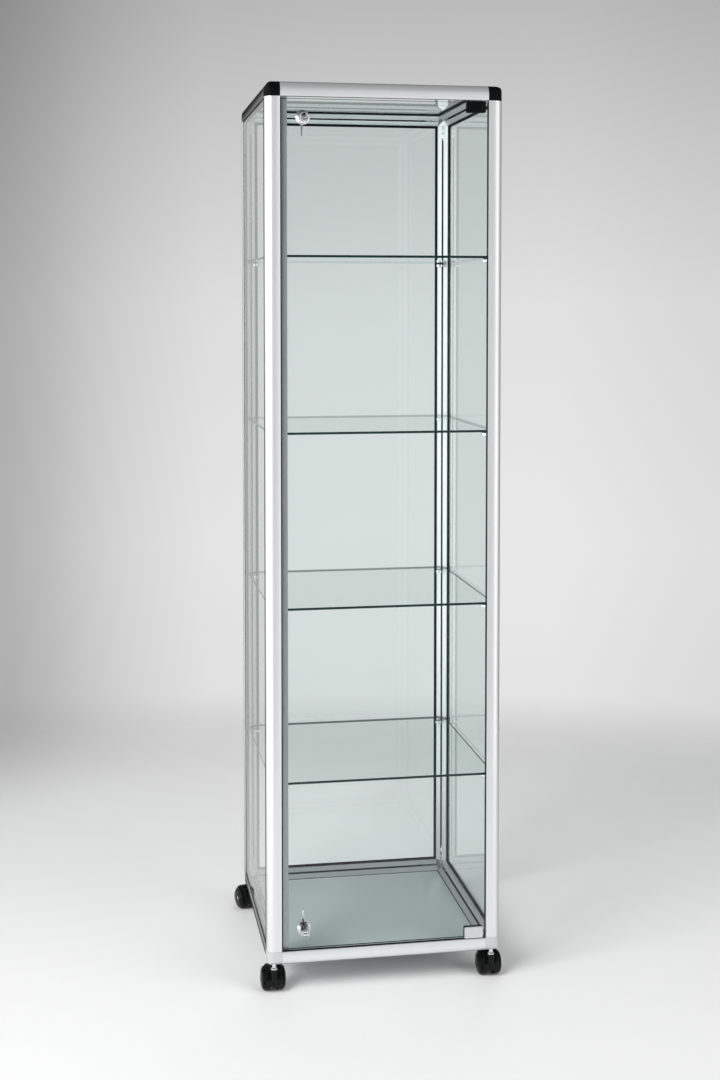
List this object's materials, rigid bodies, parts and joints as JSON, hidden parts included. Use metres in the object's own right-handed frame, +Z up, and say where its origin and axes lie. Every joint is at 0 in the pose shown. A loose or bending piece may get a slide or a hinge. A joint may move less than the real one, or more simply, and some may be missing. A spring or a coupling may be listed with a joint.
{
  "type": "glass display showcase",
  "caption": "Tall glass tower showcase with an aluminium frame, adjustable glass shelves, a locking hinged glass door and swivel castors.",
  "frame": {"origin": "on the floor, under the middle of the frame", "axes": "+Z up, +X to the right of someone facing the door, -Y towards them"},
  "size_m": [0.5385, 0.5649, 1.9],
  "materials": {
    "aluminium": "natural anodised, satin",
    "corner_silver": "die-cast, silver-grey satin",
    "black_plastic": "moulded, satin",
    "clear_glass": "clear float glass, polished edges",
    "shelf_glass": "clear float glass, dark green polished edges",
    "chrome": "polished chrome plate",
    "base_board": "silver-grey laminate, satin",
    "castor_wheel": "moulded nylon, satin"
  },
  "bodies": {
    "cabinet": {"post_front_left": "aluminium", "post_front_right": "aluminium", "post_back_left": "aluminium", "post_back_right": "aluminium", "bottom_rail_front": "aluminium", "bottom_rail_back": "aluminium", "bottom_rail_left": "aluminium", "bottom_rail_right": "aluminium", "top_rail_front": "aluminium", "top_rail_back": "aluminium", "top_rail_left": "aluminium", "top_rail_right": "aluminium", "corner_bottom_front_left": "corner_silver", "corner_bottom_front_right": "corner_silver", "corner_bottom_back_left": "corner_silver", "corner_bottom_back_right": "corner_silver", "corner_top_front_left": "black_plastic", "corner_top_front_right": "black_plastic", "corner_top_back_left": "black_plastic", "corner_top_back_right": "black_plastic", "glass_left": "clear_glass", "glass_right": "clear_glass", "glass_back": "clear_glass", "glass_top": "clear_glass", "base_panel": "base_board"},
    "shelf_1": {"shelf_1": "shelf_glass", "shelf_1_clip_front_left": "chrome", "shelf_1_clip_front_right": "chrome", "shelf_1_clip_back_left": "chrome", "shelf_1_clip_back_right": "chrome"},
    "shelf_2": {"shelf_2": "shelf_glass", "shelf_2_clip_front_left": "chrome", "shelf_2_clip_front_right": "chrome", "shelf_2_clip_back_left": "chrome", "shelf_2_clip_back_right": "chrome"},
    "shelf_3": {"shelf_3": "shelf_glass", "shelf_3_clip_front_left": "chrome", "shelf_3_clip_front_right": "chrome", "shelf_3_clip_back_left": "chrome", "shelf_3_clip_back_right": "chrome"},
    "shelf_4": {"shelf_4": "shelf_glass", "shelf_4_clip_front_left": "chrome", "shelf_4_clip_front_right": "chrome", "shelf_4_clip_back_left": "chrome", "shelf_4_clip_back_right": "chrome"},
    "door": {"door_glass": "clear_glass", "hinge_clamp_upper": "black_plastic", "hinge_clamp_lower": "corner_silver", "lock_upper_body": "chrome", "lock_lower_body": "chrome"},
    "lock_upper_plug": {"lock_upper_cam": "chrome"},
    "lock_lower_plug": {"lock_lower_cam": "chrome"},
    "castor_front_left": {"castor_front_left_hood": "black_plastic"},
    "castor_front_left_wheelset": {"castor_front_left_wheels": "castor_wheel"},
    "castor_front_right": {"castor_front_right_hood": "black_plastic"},
    "castor_front_right_wheelset": {"castor_front_right_wheels": "castor_wheel"},
    "castor_back_left": {"castor_back_left_hood": "black_plastic"},
    "castor_back_left_wheelset": {"castor_back_left_wheels": "castor_wheel"},
    "castor_back_right": {"castor_back_right_hood": "black_plastic"},
    "castor_back_right_wheelset": {"castor_back_right_wheels": "castor_wheel"}
  },
  "joints": [
    {"name": "door_hinge", "type": "hinge", "parent": "cabinet", "child": "door", "pos_m": [0.208, -0.2445, 0.98], "axis": [0, 0, 1], "range_deg": [0, 110]},
    {"name": "upper_lock_turn", "type": "hinge", "parent": "door", "child": "lock_upper_plug", "pos_m": [-0.173, -0.25, 1.826], "axis": [0, 1, 0], "range_deg": [0, 90]},
    {"name": "lower_lock_turn", "type": "hinge", "parent": "door", "child": "lock_lower_plug", "pos_m": [-0.173, -0.25, 0.14], "axis": [0, -1, 0], "range_deg": [0, 90]},
    {"name": "shelf_1_height", "type": "slide", "parent": "cabinet", "child": "shelf_1", "axis": [0, 0, 1], "range_m": [-0.15, 0.15]},
    {"name": "shelf_2_height", "type": "slide", "parent": "cabinet", "child": "shelf_2", "axis": [0, 0, 1], "range_m": [-0.15, 0.15]},
    {"name": "shelf_3_height", "type": "slide", "parent": "cabinet", "child": "shelf_3", "axis": [0, 0, 1], "range_m": [-0.15, 0.15]},
    {"name": "shelf_4_height", "type": "slide", "parent": "cabinet", "child": "shelf_4", "axis": [0, 0, 1], "range_m": [-0.15, 0.15]},
    {"name": "castor_front_left_swivel", "type": "hinge", "parent": "cabinet", "child": "castor_front_left", "pos_m": [-0.234, -0.234, 0.062], "axis": [0, 0, 1], "continuous": true},
    {"name": "castor_front_left_roll", "type": "hinge", "parent": "castor_front_left", "child": "castor_front_left_wheelset", "pos_m": [-0.234, -0.212, 0.025], "axis": [1, 0, 0], "continuous": true},
    {"name": "castor_front_right_swivel", "type": "hinge", "parent": "cabinet", "child": "castor_front_right", "pos_m": [0.234, -0.234, 0.062], "axis": [0, 0, 1], "continuous": true},
    {"name": "castor_front_right_roll", "type": "hinge", "parent": "castor_front_right", "child": "castor_front_right_wheelset", "pos_m": [0.234, -0.212, 0.025], "axis": [1, 0, 0], "continuous": true},
    {"name": "castor_back_left_swivel", "type": "hinge", "parent": "cabinet", "child": "castor_back_left", "pos_m": [-0.234, 0.234, 0.062], "axis": [0, 0, 1], "continuous": true},
    {"name": "castor_back_left_roll", "type": "hinge", "parent": "castor_back_left", "child": "castor_back_left_wheelset", "pos_m": [-0.24152, 0.25467, 0.025], "axis": [0.9397, 0.342, 0], "continuous": true},
    {"name": "castor_back_right_swivel", "type": "hinge", "parent": "cabinet", "child": "castor_back_right", "pos_m": [0.234, 0.234, 0.062], "axis": [0, 0, 1], "continuous": true},
    {"name": "castor_back_right_roll", "type": "hinge", "parent": "castor_back_right", "child": "castor_back_right_wheelset", "pos_m": [0.23857, 0.25552, 0.025], "axis": [0.9781, -0.2079, 0], "continuous": true}
  ]
}
